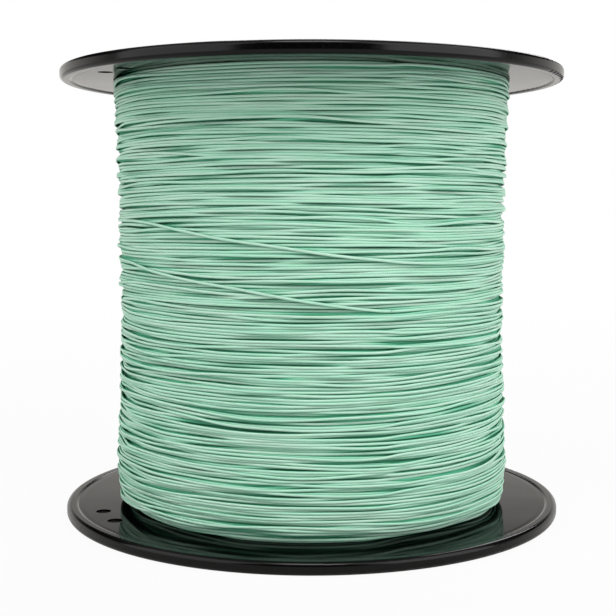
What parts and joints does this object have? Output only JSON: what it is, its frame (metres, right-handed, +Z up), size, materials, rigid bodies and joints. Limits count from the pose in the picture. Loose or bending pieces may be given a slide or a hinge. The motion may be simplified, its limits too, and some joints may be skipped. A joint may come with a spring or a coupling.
{
  "type": "line spool",
  "caption": "Bulk spool of braided fishing line: flat round flanges on a hollow barrel, with a through bore for a spindle, wound full from flange to flange.",
  "frame": {"origin": "on the spool's axis, in the plane that the lower rim stands on", "axes": "+Z up the spool's axis, from the lower flange to the upper one; -Y is the front"},
  "size_m": [0.165, 0.165, 0.146],
  "materials": {
    "flange": "polished black",
    "barrel": "black",
    "arbor_tube": "matt black",
    "line": "fine tight braid"
  },
  "bodies": {
    "root": {"lower_flange": "flange", "upper_flange": "flange", "barrel": "barrel", "arbor_tube": "arbor_tube", "line_inner_layers": "line", "line_outer_layer": "line", "line_start_knot": "line"}
  },
  "joints": []
}
